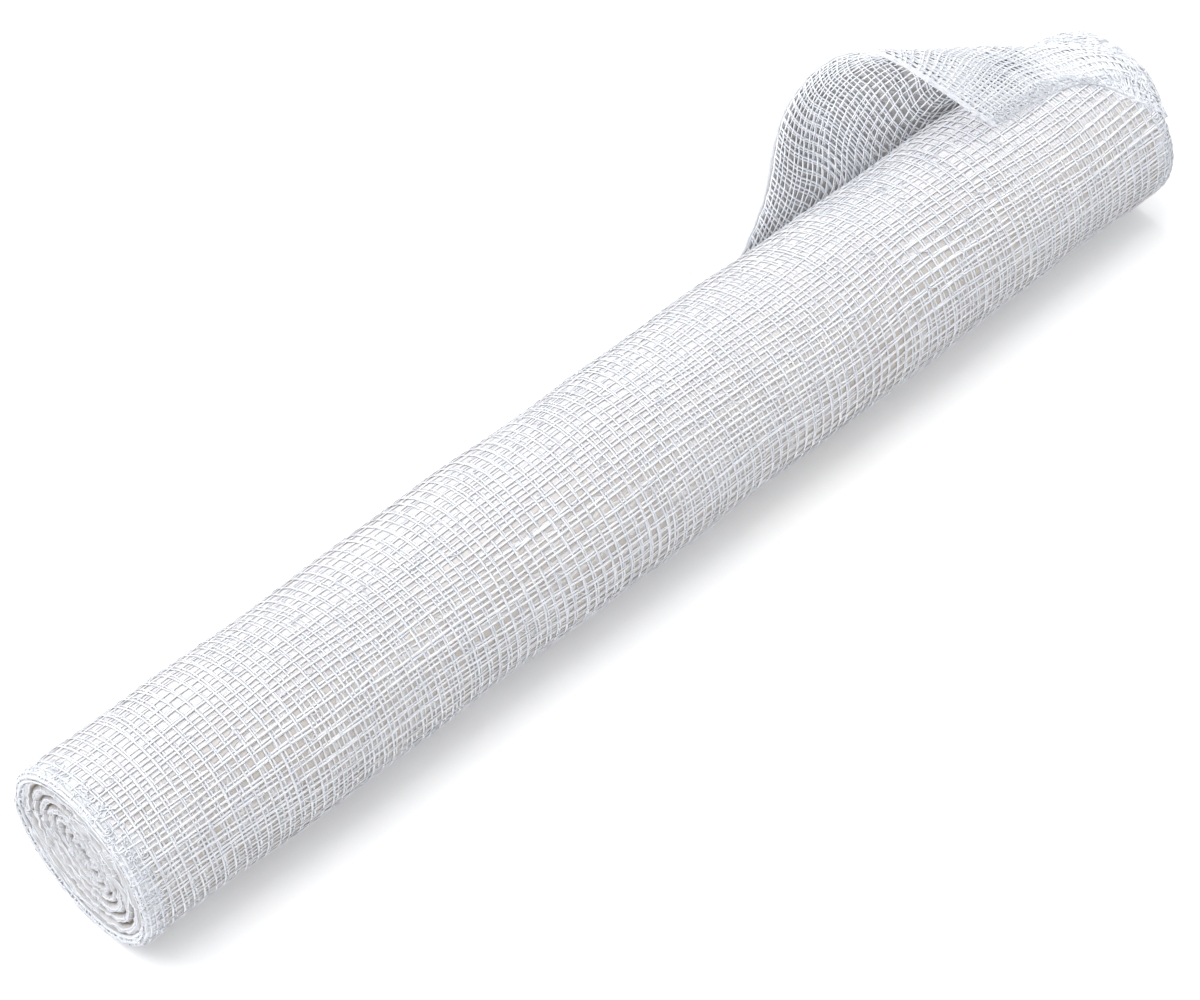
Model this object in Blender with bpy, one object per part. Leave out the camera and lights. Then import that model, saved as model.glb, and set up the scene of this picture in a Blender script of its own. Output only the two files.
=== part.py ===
"""Gauze bandage roll: the wound roll and its loose outer corner.

Frame: +X along the roll towards the end with the lifted corner, +Y to the
back, +Z up, floor at z = 0, origin under the middle of the whole part.
All tables are in millimetres and are turned into metres when meshes are made.
"""
import bmesh
import bpy
import numpy as np

# ---- driving dimensions, in metres ----
ROLL_LENGTH = 0.1994        # wound roll, end to end
FLAT_DEPTH = 0.00035        # how far the roll's own weight presses it flat
RIM_ROUND = 0.0017          # rounding where the side turns into an end
RIM_INSET = 0.00035         # radial inset of the outermost fold at the end
GROOVE_DEPTH = 0.0012       # depth between neighbouring turns on an end
CORE_RADIUS = 0.0009        # small hole left at the middle of the winding
SEAM_STEP = 0.0008          # step at the back, where the outer turn is cut
SEAM_SPREAD = 0.5           # radians over which that step dies away
LUMP = 0.00014              # hand-wound unevenness of the side
SHEET_THICK = 0.0010        # loose corner, two plies of gauze
SHEET_GAP = 0.0005          # air between loose corner and roll

# ---- counts ----
TURNS = 9                   # turns of the winding that show on an end
PER_TURN = 3                # profile points across one turn
AROUND = 60                 # points around the roll
STATIONS = 20               # rings along the side
SHEET_ALONG = 24            # rows from the cut end to the far end
SHEET_ACROSS = 40           # points along one arch

MM = 0.001
SIDE_COLUMNS = ("x", "half_width", "half_height")
SIDE = (                    # the roll is a little wider than it is high
    (-100.0, 13.6, 13.3),
    (-60.0, 14.1, 13.5),
    (0.0, 14.6, 13.7),
    (60.0, 14.5, 13.5),
    (100.0, 14.1, 13.0),
)

# Arches of the loose corner, from the cut end (first row) to the far end of
# the roll (last row). Each runs from the back of the roll, up, over and down
# to the woven edge that rests on top. x, y, z of the middle of the cloth.
ARCH_PLACE = (0.0, 0.34, 0.57, 0.71, 0.86, 1.0)
ARCH_COLUMNS = ("root", "low_back", "mid_back", "high_back",
                "crest_back", "crest", "near_side", "woven_edge")
ACROSS_PLACE = (0.0, 0.12, 0.26, 0.40, 0.53, 0.66, 0.82, 1.0)
ARCHES = (
    ((34.0, 15.0, 14.5), (39.5, 15.0, 25.0), (42.0, 15.5, 34.5), (44.0, 14.5, 42.0),
     (47.0, 12.0, 48.0), (50.5, 8.0, 51.0), (57.0, 4.0, 46.0), (73.0, 0.0, 27.5)),
    ((50.0, 15.0, 14.5), (53.0, 15.5, 18.5), (54.0, 16.5, 24.5), (55.0, 16.0, 32.5),
     (58.5, 13.0, 39.5), (67.5, 9.0, 40.0), (77.5, 4.0, 34.0), (85.0, -0.5, 27.5)),
    ((62.0, 15.0, 14.5), (62.5, 15.0, 17.5), (63.5, 15.5, 21.5), (65.5, 14.0, 28.0),
     (70.0, 12.0, 32.0), (78.0, 8.0, 34.5), (85.0, 3.0, 31.0), (90.5, -2.0, 27.0)),
    ((74.0, 15.0, 14.5), (73.5, 14.5, 17.0), (75.0, 14.5, 19.0), (77.5, 13.0, 22.5),
     (81.5, 11.0, 26.0), (86.5, 7.5, 29.5), (90.0, 1.5, 29.5), (93.0, -4.5, 27.0)),
    ((87.0, 14.5, 14.5), (90.0, 14.0, 17.0), (92.0, 13.0, 20.0), (93.5, 10.0, 23.5),
     (95.0, 6.5, 26.0), (96.5, 2.0, 27.0), (97.5, -3.5, 27.0), (95.5, -8.5, 24.5)),
    ((99.5, 14.0, 14.5), (100.0, 13.0, 17.5), (100.5, 11.0, 21.0), (100.5, 8.0, 24.0),
     (100.5, 3.5, 26.0), (100.5, -2.0, 26.0), (100.5, -7.5, 24.0), (100.0, -11.5, 19.5)),
)


def spline(place, values, at):
    """Natural cubic through values at the given places, read at new places."""
    t = np.asarray(place, float)
    p = np.asarray(values, float)
    flat = p.reshape(len(t), -1)
    h = np.diff(t)
    n = len(t)
    a = np.eye(n)
    b = np.zeros_like(flat)
    for i in range(1, n - 1):
        a[i, i - 1], a[i, i], a[i, i + 1] = h[i - 1], 2 * (h[i - 1] + h[i]), h[i]
        b[i] = 6 * ((flat[i + 1] - flat[i]) / h[i] - (flat[i] - flat[i - 1]) / h[i - 1])
    m = np.linalg.solve(a, b)
    x = np.asarray(at, float)
    i = np.clip(np.searchsorted(t, x) - 1, 0, n - 2)
    hi = h[i][:, None]
    u = (t[i + 1] - x)[:, None]
    v = (x - t[i])[:, None]
    out = ((m[i] * u ** 3 + m[i + 1] * v ** 3) / (6 * hi)
           + (flat[i] / hi - m[i] * hi / 6) * u + (flat[i + 1] / hi - m[i + 1] * hi / 6) * v)
    return out.reshape((len(x),) + p.shape[1:])


def half_sizes(x):
    """Half width and half height of the roll, in metres, at x in metres."""
    table = np.array(SIDE)
    x = np.atleast_1d(np.asarray(x, float)) / MM
    out = spline(table[:, 0], table[:, 1:], np.clip(x.ravel(), -100, 100)) * MM
    return out[:, 0].reshape(x.shape), out[:, 1].reshape(x.shape)


def seam_offset(angle):
    """Radial step of the cut outer turn: +half at angle 0, -half at one turn."""
    return 0.5 * SEAM_STEP * (np.exp(-angle / SEAM_SPREAD)
                              - np.exp(-(2 * np.pi - angle) / SEAM_SPREAD))


def side_point(x, angle, inset):
    """Point of the roll's side. Angle 0 is the back, a quarter turn the floor."""
    a, b = half_sizes(x)
    lump = LUMP * (np.sin(x * 118 + angle) + 0.6 * np.sin(x * 260 - 2 * angle + 1.0))
    grow = seam_offset(angle) + lump - inset
    y = (a + grow) * np.cos(angle)
    z = (b - FLAT_DEPTH) - (b + grow) * np.sin(angle)
    return np.stack(np.broadcast_arrays(x, y, np.maximum(z, 0.0)), axis=-1)


def end_point(x_end, towards, level, angle, depth, rim):
    """Point of an end face at a winding level (turns from the core).

    The radius grows along the spiral: fast at the soft middle, slowly at the
    tightly drawn outside, so that the last turn is one seam step higher.
    """
    a, b = half_sizes(x_end)
    a, b = float(a[0]), float(b[0])
    outer = a + 0.5 * SEAM_STEP - RIM_INSET
    first = outer - SEAM_STEP
    # quadratic through the core and the last two levels
    k = np.array([[0, 0, 1], [(TURNS - 1) ** 2, TURNS - 1, 1], [TURNS ** 2, TURNS, 1]], float)
    c = np.linalg.solve(k, np.array([CORE_RADIUS, first, outer]))
    r = c[0] * level ** 2 + c[1] * level + c[2]
    r = np.where(rim, a + seam_offset(angle) - RIM_INSET, r)
    y = r * np.cos(angle)
    z = (b - FLAT_DEPTH) - r * (b / a) * np.sin(angle)
    x = x_end - towards * depth
    return np.stack(np.broadcast_arrays(x, y, np.maximum(z, 0.0)), axis=-1)


def roll_mesh():
    """Closed mesh of the wound roll: side, seam wall and two spiral ends."""
    verts, faces = [], []

    def add(points):
        start = len(verts)
        verts.extend(map(tuple, points))
        return list(range(start, start + len(points)))

    angle = 2 * np.pi * np.arange(AROUND + 1) / AROUND
    ends = (-0.1, -0.1 + ROLL_LENGTH)
    xs = np.concatenate([
        [ends[0] + RIM_ROUND],
        np.linspace(ends[0] + 2.2 * RIM_ROUND, ends[1] - 2.2 * RIM_ROUND, STATIONS - 2),
        [ends[1] - RIM_ROUND]])
    inset = np.zeros(len(xs))
    inset[[0, -1]] = 0.00012
    rings = [add(side_point(np.full(AROUND + 1, x), angle, i)) for x, i in zip(xs, inset)]

    def quad(p, q, r, s, flip):
        faces.append((p, s, r, q) if flip else (p, q, r, s))

    for lo, hi in zip(rings[:-1], rings[1:]):
        for j in range(AROUND):
            quad(lo[j], lo[j + 1], hi[j + 1], hi[j], False)
        quad(lo[AROUND], lo[0], hi[0], hi[AROUND], False)    # seam wall

    levels = PER_TURN * (TURNS - 1)
    for x_end, towards, ring in ((ends[0], -1, rings[0]), (ends[1], 1, rings[-1])):
        flip = towards > 0
        column = []
        for j in range(AROUND + 1):
            m = np.arange(levels + 1)
            level = m / PER_TURN + 1 - j / AROUND
            depth = np.where(m % PER_TURN == 0, GROOVE_DEPTH, 0.00012)
            depth = depth + 0.0006 * (1 - level / TURNS)      # middle sits a little in
            depth[-1] = 0.00055 + (GROOVE_DEPTH + 0.0006 / TURNS - 0.00055) * (j / AROUND) ** 2
            pts = end_point(x_end, towards, level, angle[j], depth, m == levels)
            if j < AROUND:
                column.append(add(pts))
            else:                                            # same points, one turn in
                inner = add(pts[:PER_TURN])
                column.append(inner + column[0][:levels + 1 - PER_TURN])
        for j in range(AROUND):
            for m in range(levels):
                quad(column[j][m], column[j][m + 1], column[j + 1][m + 1], column[j + 1][m], flip)
            quad(column[j][levels], ring[j], ring[j + 1], column[j + 1][levels], flip)
        # end of the seam wall
        wall = [column[0][m] for m in range(levels - PER_TURN, levels + 1)] + [ring[0], ring[AROUND]]
        faces.append(tuple(wall if flip else wall[::-1]))
        # core
        core = column[0][0:1] + [column[j][0] for j in range(1, AROUND + 1)]
        core += [column[AROUND][m] for m in range(1, PER_TURN)]
        a, b = half_sizes(x_end)
        mid = add([(x_end - towards * 0.0016, 0.0, float(b[0]) - FLAT_DEPTH)])[0]
        for p, q in zip(core, core[1:] + core[:1]):
            faces.append((mid, p, q) if not flip else (mid, q, p))
    return np.array(verts), faces


def sheet_middle(rows, points):
    """Middle surface of the loose corner, pushed clear of the roll."""
    along = spline(ARCH_PLACE, np.array(ARCHES), np.linspace(0, 1, rows))
    grid = spline(ACROSS_PLACE, along.swapaxes(0, 1), np.linspace(0, 1, points)).swapaxes(0, 1) * MM
    x, y, z = np.moveaxis(grid, -1, 0)
    a, b = half_sizes(x)
    zc = b - FLAT_DEPTH
    angle = np.mod(np.arctan2(-(z - zc) / b, y / a), 2 * np.pi)
    surface = side_point(x, angle, 0.0)
    reach = np.hypot(surface[..., 1], surface[..., 2] - zc)
    now = np.hypot(y, z - zc)
    need = reach + SHEET_GAP + SHEET_THICK / 2
    rounding = np.clip((x - (ROLL_LENGTH - 0.1 - 0.0006)) / 0.0012, 0, 1)
    need = need - 0.0014 * rounding ** 2
    scale = np.maximum(need / now, 1.0)
    return np.stack([x, y * scale, zc + (z - zc) * scale], axis=-1)


def sheet_mesh():
    """Closed sheet: the middle surface, half the thickness to either side."""
    mid = sheet_middle(SHEET_ALONG, SHEET_ACROSS)
    du = np.gradient(mid, axis=0)
    dv = np.gradient(mid, axis=1)
    n = np.cross(du, dv)
    n /= np.linalg.norm(n, axis=-1, keepdims=True)
    top, low = mid + n * SHEET_THICK / 2, mid - n * SHEET_THICK / 2
    verts = np.concatenate([top.reshape(-1, 3), low.reshape(-1, 3)])
    r, c = mid.shape[:2]
    ids = np.arange(r * c).reshape(r, c)
    other = ids + r * c
    faces = []
    for i in range(r - 1):
        for j in range(c - 1):
            p, q, s, t = ids[i, j], ids[i + 1, j], ids[i + 1, j + 1], ids[i, j + 1]
            faces.append((p, q, s, t))
            k = r * c
            faces.append((p + k, t + k, s + k, q + k))
    edge = list(ids[:, 0]) + list(ids[-1, 1:]) + list(ids[-2::-1, -1]) + list(ids[0, -2:0:-1])
    for p, q in zip(edge, edge[1:] + edge[:1]):
        faces.append((q, p, p + r * c, q + r * c))
    return verts, faces


def material(name, rgb, roughness):
    mat = bpy.data.materials.new(name)
    mat.use_nodes = True
    shader = mat.node_tree.nodes["Principled BSDF"]
    shader.inputs["Base Color"].default_value = (*rgb, 1.0)
    shader.inputs["Roughness"].default_value = roughness
    return mat


def add_object(name, verts, faces, mat, sharp_degrees):
    mesh = bpy.data.meshes.new(name)
    mesh.from_pydata([tuple(v) for v in verts], [], [tuple(int(i) for i in f) for f in faces])
    mesh.validate()
    work = bmesh.new()
    work.from_mesh(mesh)
    bmesh.ops.recalc_face_normals(work, faces=work.faces)
    work.to_mesh(mesh)
    work.free()
    mesh.shade_smooth()
    mesh.set_sharp_from_angle(angle=np.radians(sharp_degrees))
    mesh.materials.append(mat)
    obj = bpy.data.objects.new(name, mesh)
    bpy.context.scene.collection.objects.link(obj)
    return obj


for old in list(bpy.data.objects):
    bpy.data.objects.remove(old, do_unlink=True)

roll_verts, roll_faces = roll_mesh()
sheet_verts, sheet_faces = sheet_mesh()

# origin under the middle of the whole part
both = np.concatenate([roll_verts, sheet_verts])
shift = (both.min(axis=0) + both.max(axis=0)) / 2
shift[2] = both[:, 2].min()
roll_verts = roll_verts - shift
sheet_verts = sheet_verts - shift

add_object("gauze_roll", roll_verts, roll_faces, material("gauze_roll", (0.86, 0.87, 0.89), 0.95), 50)
add_object("loose_end", sheet_verts, sheet_faces, material("loose_end", (0.90, 0.91, 0.93), 0.95), 60)

print("shift mm", np.round(shift * 1000, 4).tolist())
print("size mm", np.round((both.max(axis=0) - both.min(axis=0)) * 1000, 3).tolist())
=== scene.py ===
# %% [markdown]
# A gauze bandage roll, 20 cm wide, lying on a pale table.
# The cloth is a very open cotton weave, folded into plies and wound up by hand, and its
# outer corner has come loose and stands up at one end. The solid frame gives the size and
# the place of everything. What the frame cannot hold is the weave, so this lesson builds
# the real threads: every ring thread and every long thread is a thin tube that goes over
# and under the ones it crosses.

import bpy
import numpy as np
from mathutils import Euler, Matrix


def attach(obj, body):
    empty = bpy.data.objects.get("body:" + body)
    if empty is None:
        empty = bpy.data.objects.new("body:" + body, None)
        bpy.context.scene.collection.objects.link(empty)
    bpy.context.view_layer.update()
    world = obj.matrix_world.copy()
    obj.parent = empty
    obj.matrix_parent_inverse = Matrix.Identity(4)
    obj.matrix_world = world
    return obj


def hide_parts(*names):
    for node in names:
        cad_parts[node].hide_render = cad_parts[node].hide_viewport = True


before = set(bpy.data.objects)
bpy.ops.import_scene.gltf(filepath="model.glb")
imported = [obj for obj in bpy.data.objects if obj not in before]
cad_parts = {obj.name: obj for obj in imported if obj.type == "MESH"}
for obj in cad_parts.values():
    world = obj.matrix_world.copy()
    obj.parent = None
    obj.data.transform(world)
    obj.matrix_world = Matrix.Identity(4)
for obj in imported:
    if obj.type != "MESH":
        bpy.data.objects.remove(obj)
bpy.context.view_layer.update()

# %% [markdown]
# The camera looks down the roll from the front left, a long lens from about half a metre
# away. Direction, place and lens were fitted beforehand to the roll's outline, and are
# given finely because a long lens shows a tenth of a degree.

# %% Camera
CAMERA_TURN, CAMERA_HEIGHT = np.radians((-44.35208, 48.44366))  # about the vertical, above the table
CAMERA_PLACE = (-0.237939, -0.236125, 0.379820)
IMAGE_WIDTH, FOCAL_PIXELS = 1200, 3554.0
SENSOR_WIDTH = 36.0

camera_data = bpy.data.cameras.new("camera")
camera_data.sensor_width = SENSOR_WIDTH
camera_data.lens = SENSOR_WIDTH * FOCAL_PIXELS / IMAGE_WIDTH
camera_data.clip_start = 0.02
camera = bpy.data.objects.new("camera", camera_data)
turn = Euler((np.pi / 2 - CAMERA_HEIGHT, 0.0, CAMERA_TURN)).to_matrix().to_4x4()
camera.matrix_world = Matrix.Translation(CAMERA_PLACE) @ turn
bpy.context.scene.collection.objects.link(camera)
bpy.context.scene.camera = camera
print("lens", round(camera_data.lens, 1), "mm")

# %% [markdown]
# Colours are picked as sRGB hex, as on a colour card. The shader wants linear light, so
# one function turns a hex value into it. Small helpers add a node with its settings and
# links, a colour ramp, and what every cloth here has: colour, bump and roughness.

# %% Colour and node helpers
def linear(hex_colour):
    """sRGB hex to linear red, green, blue, alpha: c/12.92 below 0.04045, else ((c+0.055)/1.055)^2.4."""
    c = np.array([int(hex_colour[i:i + 2], 16) for i in (1, 3, 5)]) / 255.0
    c = np.where(c <= 0.04045, c / 12.92, ((c + 0.055) / 1.055) ** 2.4)
    return (*c.tolist(), 1.0)


def node(tree, kind, sockets=None, **settings):
    """Adds a node. settings are its properties; sockets maps an input to a value or another output."""
    new = tree.nodes.new(kind)
    for name, value in settings.items():
        setattr(new, name, value)
    for name, value in (sockets or {}).items():
        if isinstance(value, bpy.types.NodeSocket):
            tree.links.new(value, new.inputs[name])
        else:
            new.inputs[name].default_value = value
    return new


def new_material(name):
    """A node material and its Principled shader, ready for links."""
    made = bpy.data.materials.new(name)
    made.use_nodes = True
    return made, made.node_tree, made.node_tree.nodes["Principled BSDF"]


def ramp(tree, value, *stops):
    """Colour read off a ramp at value; stops are positions with hex colours, in rising order."""
    made = node(tree, "ShaderNodeValToRGB", {"Fac": value})
    elements = made.color_ramp.elements
    for position, _ in stops[1:-1]:
        elements.new(position)
    for element, (position, colour) in zip(elements, stops):
        element.position, element.color = position, linear(colour)
    return made.outputs["Color"]


def dress(tree, shader, colour, height, strength, depth, roughness):
    """Gives the shader a colour, a bump from height, and a roughness."""
    bump = node(tree, "ShaderNodeBump", {"Height": height, "Strength": strength, "Distance": depth})
    tree.links.new(colour, shader.inputs["Base Color"])
    tree.links.new(bump.outputs["Normal"], shader.inputs["Normal"])
    shader.inputs["Roughness"].default_value = roughness


# %% [markdown]
# The stage is a plain pale table and a soft, even studio light: one large panel high up
# behind the roll, with weaker ones overhead and in front, makes its top brightest and
# leaves the side that faces the viewer greyer: a weave only reads by its small shadows.

# %% Table and light
FLOOR_HALF = 3.0
FLOOR_GLOW = 0.16  # so that the table renders white
KEY_PLACE, KEY_SIZE = (-0.38, 0.42, 1.30), 1.6
ORIGIN = (0.0, 0.0, 0.0)
floor_mesh = bpy.data.meshes.new("table")
corners = [(x * FLOOR_HALF, y * FLOOR_HALF, 0) for x, y in ((-1, -1), (1, -1), (1, 1), (-1, 1))]
floor_mesh.from_pydata(corners, [], [(0, 1, 2, 3)])
floor = bpy.data.objects.new("table", floor_mesh)
floor.location.z = -0.0002
bpy.context.scene.collection.objects.link(floor)
paper, _, paper_shader = new_material("white card, matt")
for name, value in (("Base Color", linear("#FDFDFD")), ("Roughness", 0.9),
                    ("Emission Color", (1.0, 1.0, 1.0, 1.0)), ("Emission Strength", FLOOR_GLOW)):
    paper_shader.inputs[name].default_value = value
floor_mesh.materials.append(paper)


def panel(name, place, aim, size, power):
    """A square soft light at place, turned to look at aim."""
    data = bpy.data.lights.new(name, "AREA")
    data.size, data.energy = size, power
    lamp = bpy.data.objects.new(name, data)
    back = np.array(place) - np.array(aim)
    back /= np.linalg.norm(back)
    side = np.cross((0.0, 1.0, 0.001), back)
    side /= np.linalg.norm(side)
    axes = Matrix((side, np.cross(back, side), back)).transposed().to_4x4()
    lamp.matrix_world = Matrix.Translation(place) @ axes
    bpy.context.scene.collection.objects.link(lamp)
    return lamp


key = panel("key panel", KEY_PLACE, ORIGIN, KEY_SIZE, 21.0)
panel("overhead panel", (0.0, 0.1, 1.40), ORIGIN, 1.8, 6.0)
panel("front panel", (0.15, -0.55, 1.15), ORIGIN, 0.9, 0.8)
hollow_card = panel("card for the hollow", (-1.00, -0.38, 0.42), ORIGIN, 0.6, 11.8)
turned_card = panel("card for the turned side", (-0.30, -0.60, 1.00), (0.08, 0.0, 0.04), 0.6, 4.4)
corner_key = panel("key panel for the corner", KEY_PLACE, ORIGIN, KEY_SIZE, 17.0)
world = bpy.data.worlds.new("studio")
world.use_nodes = True
sky = world.node_tree.nodes["Background"]
sky.inputs["Color"].default_value = (0.975, 0.985, 1.0, 1.0)
sky.inputs["Strength"].default_value = 0.41
bpy.context.scene.world = world
bpy.context.scene.view_settings.view_transform = "Standard"

# %% [markdown]
# The roll's shape. It is a little wider than it is high, and its half width and half
# height change slightly along its length, so a smooth curve through five stations
# gives them. The outermost ply ends at the back, where it makes a small step.
# Angle 0 is the back, a quarter turn the table, half a turn the front.

# %% Numbers and curves of the roll
MM = 0.001
SHIFT = np.array([0.4142, 1.2197, 0.0]) * MM  # tables are centred on the roll, the frame on the whole part
ROLL_START, ROLL_END = -0.1, 0.0994
FLAT_DEPTH = 0.35 * MM  # pressed flat by its own weight
SEAM_STEP, SEAM_SPREAD = 0.8 * MM, 0.5  # step of the cut outer ply, and the angle it fades over
LUMP = 0.14 * MM
FOLD = 0.9 * MM  # radius on which a ply turns over a rim
MEAN_RADIUS = 14 * MM
LIT_ANGLE = 4.95  # the top, a little towards the key panel
SIDE = np.array([(-100.0, 13.6, 13.3), (-60.0, 14.1, 13.5), (0.0, 14.6, 13.7),
                 (60.0, 14.5, 13.5), (100.0, 14.1, 13.0)])


def spline(place, values, at):
    """Natural cubic through values at the given places, read at new places; both ends free."""
    t, p = np.asarray(place, float), np.asarray(values, float)
    flat = p.reshape(len(t), -1)
    h, n = np.diff(t), len(t)
    a = np.eye(n)
    b = np.zeros_like(flat)
    inner = np.arange(1, n - 1)
    a[inner, inner - 1], a[inner, inner], a[inner, inner + 1] = h[:-1], 2 * (h[:-1] + h[1:]), h[1:]
    slope = np.diff(flat, axis=0) / h[:, None]
    b[1:-1] = 6 * np.diff(slope, axis=0)
    m = np.linalg.solve(a, b)
    x = np.asarray(at, float)
    i = np.clip(np.searchsorted(t, x) - 1, 0, n - 2)
    hi, u, v = h[i][:, None], (t[i + 1] - x)[:, None], (x - t[i])[:, None]
    out = ((m[i] * u ** 3 + m[i + 1] * v ** 3) / (6 * hi)
           + (flat[i] / hi - m[i] * hi / 6) * u + (flat[i + 1] / hi - m[i + 1] * hi / 6) * v)
    return out.reshape((len(x),) + p.shape[1:])


def smooth_step(x):
    """0 to 1 without a corner at either end, for x from 0 to 1."""
    return x * x * (3 - 2 * x)


def half_sizes(x):
    """Half width and half height of the roll at x, from the five stations."""
    x = np.asarray(x, float)
    out = spline(SIDE[:, 0], SIDE[:, 1:], np.clip(x.ravel() / MM, -100, 100)) * MM
    return out[:, 0].reshape(x.shape), out[:, 1].reshape(x.shape)


def side_point(x, angle, inset):
    """Point of the side: an ellipse grown by the seam step and two soft waves, less inset."""
    x, angle, inset = np.broadcast_arrays(np.asarray(x, float), angle, inset)
    a, b = half_sizes(x)
    seam = 0.5 * SEAM_STEP * (np.exp(-angle / SEAM_SPREAD) - np.exp(-(2 * np.pi - angle) / SEAM_SPREAD))
    lump = LUMP * (np.sin(x * 118 + angle) + 0.6 * np.sin(x * 260 - 2 * angle + 1.0))
    grow = seam + lump - inset
    y = (a + grow) * np.cos(angle)
    z = (b - FLAT_DEPTH) - (b + grow) * np.sin(angle)
    return np.stack([x, y, np.maximum(z, 0.12 * MM)], axis=-1)


def soft_field(rows, cols, coarse_rows, coarse_cols, seed, closed=False):
    """Soft random field, about -1 to 1: seeded numbers on a coarse grid, spread with the spline both ways."""
    coarse = np.clip(np.random.default_rng(seed).standard_normal((coarse_rows, coarse_cols)), -1.8, 1.8)
    if closed:
        coarse[:, -1] = coarse[:, 0]
    tall = spline(np.linspace(0, 1, coarse_rows), coarse, np.linspace(0, 1, rows))
    return spline(np.linspace(0, 1, coarse_cols), tall.T, np.linspace(0, 1, cols)).T


def read_grid(grid, rows, cols):
    """Bilinear reading of a fine grid at fractional rows and columns."""
    r0 = np.clip(rows.astype(int), 0, grid.shape[0] - 2)
    c0 = np.clip(cols.astype(int), 0, grid.shape[1] - 2)
    fr, fc = (rows - r0)[..., None], (cols - c0)[..., None]
    return ((grid[r0, c0] * (1 - fc) + grid[r0, c0 + 1] * fc) * (1 - fr)
            + (grid[r0 + 1, c0] * (1 - fc) + grid[r0 + 1, c0 + 1] * fc) * fr)


print("half sizes at the middle, mm", np.round(np.array(half_sizes(np.array([0.0]))) / MM, 2).ravel())

# %% [markdown]
# Meshes. A piece is given as an array of corners and arrays of faces, and goes into
# Blender in a few bulk calls. A grid of points becomes quads by index arithmetic alone.

# %% Mesh helpers
def grid_quads(rows, cols, start=0):
    """Quads of a rows x cols grid of points, as (n, 4) indices."""
    ids = start + np.arange(rows * cols).reshape(rows, cols)
    return np.stack([ids[:-1, :-1], ids[1:, :-1], ids[1:, 1:], ids[:-1, 1:]], axis=-1).reshape(-1, 4)


def new_piece(name, points, face_sets, materials, uv=None, values=None, slots=None):
    """A mesh object at the origin, shifted into the frame, smooth, riding on the root."""
    mesh = bpy.data.meshes.new(name)
    flat = np.concatenate([f.ravel() for f in face_sets]).astype(np.int32)
    sizes = np.concatenate([np.full(len(f), f.shape[1]) for f in face_sets])
    mesh.vertices.add(len(points))
    mesh.vertices.foreach_set("co", (np.asarray(points, float) - SHIFT).astype(np.float32).ravel())
    mesh.loops.add(len(flat))
    mesh.loops.foreach_set("vertex_index", flat)
    mesh.polygons.add(len(sizes))
    mesh.polygons.foreach_set("loop_start", np.concatenate([[0], np.cumsum(sizes)[:-1]]).astype(np.int32))
    mesh.update(calc_edges=True)
    for one in materials:
        mesh.materials.append(one)
    if slots is not None:
        mesh.polygons.foreach_set("material_index", slots.astype(np.int32))
    if uv is not None:
        mesh.uv_layers.new(name="UVMap").data.foreach_set("uv", uv.astype(np.float32).ravel())
    for key, value in (values or {}).items():
        mesh.attributes.new(key, "FLOAT", "POINT").data.foreach_set("value", value.astype(np.float32).ravel())
    mesh.validate()
    mesh.shade_smooth()
    made = bpy.data.objects.new(name, mesh)
    bpy.context.scene.collection.objects.link(made)
    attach(made, "root")
    triangles = int((sizes - 2).sum())
    print(f"{name}: {triangles} triangles")
    return made


# %% [markdown]
# A thread is a tube. Spun cotton in gauze is soft, so where it lies on the roll it is
# flatter than it is wide. A profile of four points, carried along each thread, is enough
# for something only two or three image points wide, and smooth shading rounds it.

# %% Threads as tubes
def lengths_along(paths):
    """Length run so far at each point of many paths."""
    steps = np.linalg.norm(np.diff(paths, axis=1), axis=2)
    return np.concatenate([np.zeros((len(paths), 1)), np.cumsum(steps, axis=1)], axis=1)


def thread_tubes(paths, normals, wide, thick, keep=None, sides=4):
    """Tubes along many paths at once.

    paths is (threads, points, 3). Each ring is path + B cos(a) wide/2 + N sin(a) thick/2,
    where N is the cloth's normal and B is the thread's direction crossed with N. keep says
    which stretches exist; a tube is closed wherever it starts or stops.
    """
    count, length = paths.shape[:2]
    along = np.gradient(paths, axis=1)
    along /= np.linalg.norm(along, axis=-1, keepdims=True) + 1e-12
    across = np.cross(along, normals)
    across /= np.linalg.norm(across, axis=-1, keepdims=True) + 1e-12
    up = np.cross(across, along)
    wide, thick = (np.broadcast_to(w, (count, length))[..., None, None] for w in (wide, thick))
    a = (2 * np.pi * np.arange(sides) / sides)[:, None]
    rings = (paths[:, :, None] + across[:, :, None] * np.cos(a) * wide / 2
             + up[:, :, None] * np.sin(a) * thick / 2)
    ids = np.arange(count * length * sides).reshape(count, length, sides)
    nxt = np.roll(ids, -1, axis=2)
    body = np.stack([ids[:, :-1], ids[:, 1:], nxt[:, 1:], nxt[:, :-1]], axis=-1)
    run = lengths_along(paths) / MM
    u0, u1 = run[:, :-1, None], run[:, 1:, None]
    v0 = np.arange(sides)[None, None] / sides
    u0, u1, v0 = np.broadcast_arrays(u0, u1, v0)
    v1 = v0 + 1 / sides
    uv = np.stack([np.stack(pair, -1) for pair in ((u0, v0), (u1, v0), (u1, v1), (u0, v1))], axis=-2)
    keep = np.ones((count, length - 1), bool) if keep is None else keep
    edge = np.pad(keep, ((0, 0), (1, 1)))
    first = ids[edge[:, 1:] & ~edge[:, :-1]]
    last = ids[edge[:, :-1] & ~edge[:, 1:]][:, ::-1]
    caps = np.concatenate([first, last])
    uv = np.concatenate([uv[keep].reshape(-1, 2), np.zeros((caps.size, 2))])
    return rings.reshape(-1, 3), [body[keep].reshape(-1, 4), caps], uv


def tidy_points(points, faces):
    """Drops the corners that no face uses, and renumbers the faces."""
    used = np.unique(np.concatenate([f.ravel() for f in faces]))
    order = np.full(len(points), -1)
    order[used] = np.arange(len(used))
    return points[used], [order[f] for f in faces]


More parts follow.
